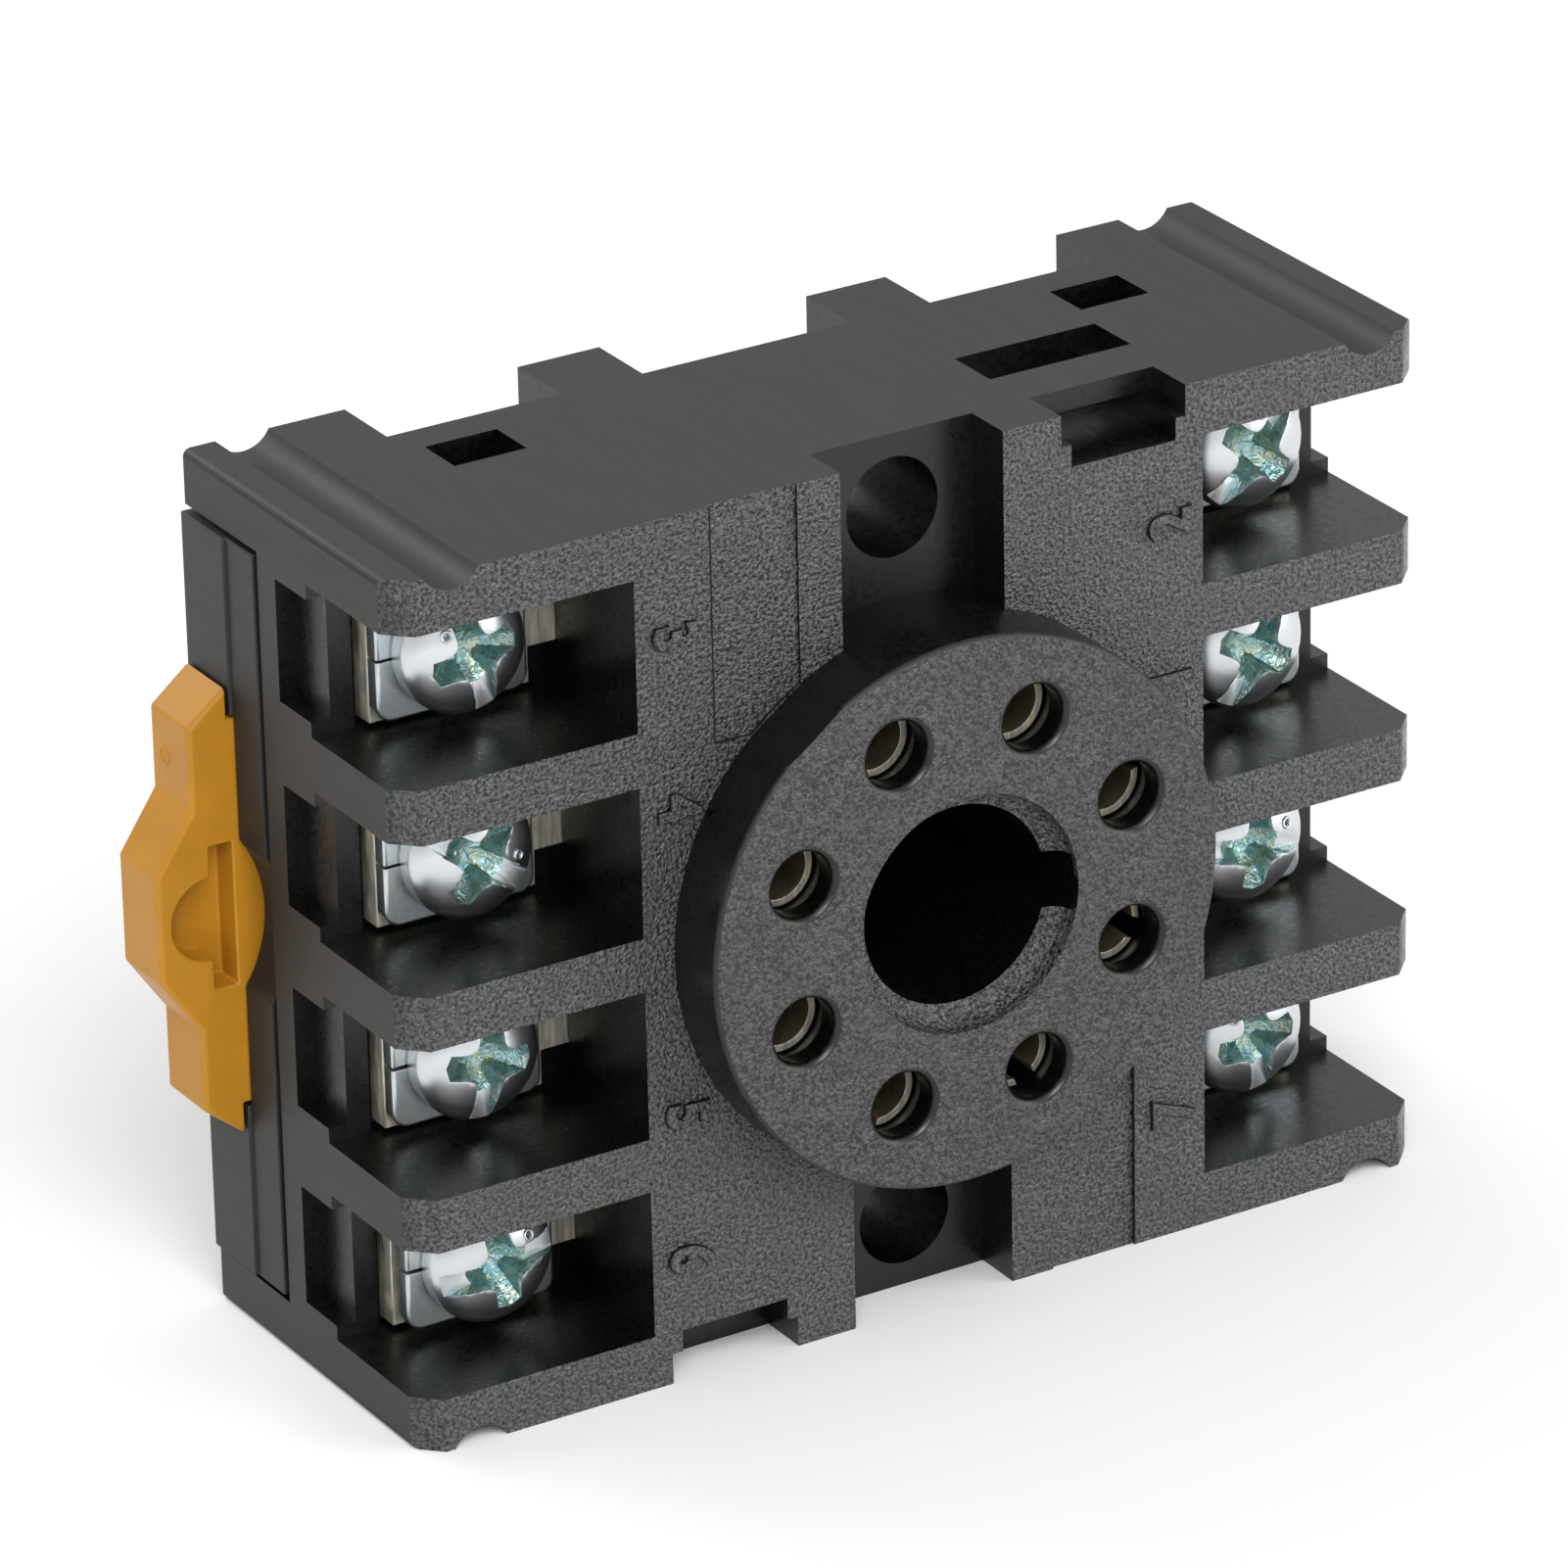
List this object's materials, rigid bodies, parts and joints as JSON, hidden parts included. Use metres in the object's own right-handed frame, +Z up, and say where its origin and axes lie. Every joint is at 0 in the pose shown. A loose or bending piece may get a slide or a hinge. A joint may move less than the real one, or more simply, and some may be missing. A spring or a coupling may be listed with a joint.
{
  "type": "relay socket",
  "caption": "Black plug-in relay socket with screw terminals, a keyed round plug boss, rail feet and an orange rail clip.",
  "frame": {"origin": "on the axis of the key bore, in the front plane that the plug boss stands on", "axes": "+X along the socket, away from the rail clip; +Y from the plug side back to the rail side; +Z up, as the socket stands on its long side"},
  "size_m": [0.0547, 0.0208, 0.0396],
  "materials": {
    "housing": "fine eroded mould texture with a soft sheen",
    "base_cover": "fine eroded mould texture",
    "rail_clip": "semi-gloss moulded",
    "terminal_plate": "nickel plated, sheared edge pale yellow",
    "contact_sleeve": "nickel plated",
    "clamp_washer": "bright zinc plated",
    "terminal_screw": "bright zinc plated with a faint passivation tint"
  },
  "bodies": {
    "root": {"housing": "housing", "base_cover": "base_cover", "terminal_plate_1": "terminal_plate", "terminal_plate_2": "terminal_plate", "terminal_plate_3": "terminal_plate", "terminal_plate_4": "terminal_plate", "terminal_plate_5": "terminal_plate", "terminal_plate_6": "terminal_plate", "terminal_plate_7": "terminal_plate", "terminal_plate_8": "terminal_plate", "contact_sleeve_1": "contact_sleeve", "contact_sleeve_2": "contact_sleeve", "contact_sleeve_3": "contact_sleeve", "contact_sleeve_4": "contact_sleeve", "contact_sleeve_5": "contact_sleeve", "contact_sleeve_6": "contact_sleeve", "contact_sleeve_7": "contact_sleeve", "contact_sleeve_8": "contact_sleeve"},
    "rail_clip": {"rail_clip": "rail_clip"},
    "clamp_1": {"clamp_washer_1": "clamp_washer"},
    "screw_1": {"terminal_screw_1": "terminal_screw"},
    "clamp_2": {"clamp_washer_2": "clamp_washer"},
    "screw_2": {"terminal_screw_2": "terminal_screw"},
    "clamp_3": {"clamp_washer_3": "clamp_washer"},
    "screw_3": {"terminal_screw_3": "terminal_screw"},
    "clamp_4": {"clamp_washer_4": "clamp_washer"},
    "screw_4": {"terminal_screw_4": "terminal_screw"},
    "clamp_5": {"clamp_washer_5": "clamp_washer"},
    "screw_5": {"terminal_screw_5": "terminal_screw"},
    "clamp_6": {"clamp_washer_6": "clamp_washer"},
    "screw_6": {"terminal_screw_6": "terminal_screw"},
    "clamp_7": {"clamp_washer_7": "clamp_washer"},
    "screw_7": {"terminal_screw_7": "terminal_screw"},
    "clamp_8": {"clamp_washer_8": "clamp_washer"},
    "screw_8": {"terminal_screw_8": "terminal_screw"}
  },
  "joints": [
    {"name": "rail_clip_slide", "type": "slide", "parent": "root", "child": "rail_clip", "axis": [-1, 0, 0], "range_m": [0, 0.004]},
    {"name": "clamp_slide_1", "type": "slide", "parent": "root", "child": "clamp_1", "axis": [0, -1, 0], "range_m": [-0.00006, 0.00294]},
    {"name": "screw_turn_1", "type": "hinge", "parent": "clamp_1", "child": "screw_1", "pos_m": [0.01925, 0.005, 0.00464], "axis": [0, -1, 0], "range_deg": [-37, 1765]},
    {"name": "clamp_slide_2", "type": "slide", "parent": "root", "child": "clamp_2", "axis": [0, -1, 0], "range_m": [-0.00006, 0.00294]},
    {"name": "screw_turn_2", "type": "hinge", "parent": "clamp_2", "child": "screw_2", "pos_m": [0.01925, 0.005, 0.01393], "axis": [0, -1, 0], "range_deg": [-37, 1765]},
    {"name": "clamp_slide_3", "type": "slide", "parent": "root", "child": "clamp_3", "axis": [0, -1, 0], "range_m": [-0.00006, 0.00294]},
    {"name": "screw_turn_3", "type": "hinge", "parent": "clamp_3", "child": "screw_3", "pos_m": [-0.01925, 0.005, 0.01393], "axis": [0, -1, 0], "range_deg": [-37, 1765]},
    {"name": "clamp_slide_4", "type": "slide", "parent": "root", "child": "clamp_4", "axis": [0, -1, 0], "range_m": [-0.00006, 0.00294]},
    {"name": "screw_turn_4", "type": "hinge", "parent": "clamp_4", "child": "screw_4", "pos_m": [-0.01925, 0.005, 0.00464], "axis": [0, -1, 0], "range_deg": [-37, 1765]},
    {"name": "clamp_slide_5", "type": "slide", "parent": "root", "child": "clamp_5", "axis": [0, -1, 0], "range_m": [-0.00006, 0.00294]},
    {"name": "screw_turn_5", "type": "hinge", "parent": "clamp_5", "child": "screw_5", "pos_m": [-0.01925, 0.005, -0.00464], "axis": [0, -1, 0], "range_deg": [-37, 1765]},
    {"name": "clamp_slide_6", "type": "slide", "parent": "root", "child": "clamp_6", "axis": [0, -1, 0], "range_m": [-0.0006, 0.0024]},
    {"name": "screw_turn_6", "type": "hinge", "parent": "clamp_6", "child": "screw_6", "pos_m": [-0.01925, 0.005, -0.01393], "axis": [0, -1, 0], "range_deg": [-361, 1441]},
    {"name": "clamp_slide_7", "type": "slide", "parent": "root", "child": "clamp_7", "axis": [0, -1, 0], "range_m": [-0.00006, 0.00294]},
    {"name": "screw_turn_7", "type": "hinge", "parent": "clamp_7", "child": "screw_7", "pos_m": [0.01925, 0.005, -0.01393], "axis": [0, -1, 0], "range_deg": [-37, 1765]},
    {"name": "clamp_slide_8", "type": "slide", "parent": "root", "child": "clamp_8", "axis": [0, -1, 0], "range_m": [-0.00006, 0.00294]},
    {"name": "screw_turn_8", "type": "hinge", "parent": "clamp_8", "child": "screw_8", "pos_m": [0.01925, 0.005, -0.00464], "axis": [0, -1, 0], "range_deg": [-37, 1765]}
  ],
  "couplings": [
    {"joint": "screw_turn_1", "follows": "clamp_slide_1", "rad_per_m": 10472},
    {"joint": "screw_turn_2", "follows": "clamp_slide_2", "rad_per_m": 10472},
    {"joint": "screw_turn_3", "follows": "clamp_slide_3", "rad_per_m": 10472},
    {"joint": "screw_turn_4", "follows": "clamp_slide_4", "rad_per_m": 10472},
    {"joint": "screw_turn_5", "follows": "clamp_slide_5", "rad_per_m": 10472},
    {"joint": "screw_turn_6", "follows": "clamp_slide_6", "rad_per_m": 10472},
    {"joint": "screw_turn_7", "follows": "clamp_slide_7", "rad_per_m": 10472},
    {"joint": "screw_turn_8", "follows": "clamp_slide_8", "rad_per_m": 10472}
  ]
}
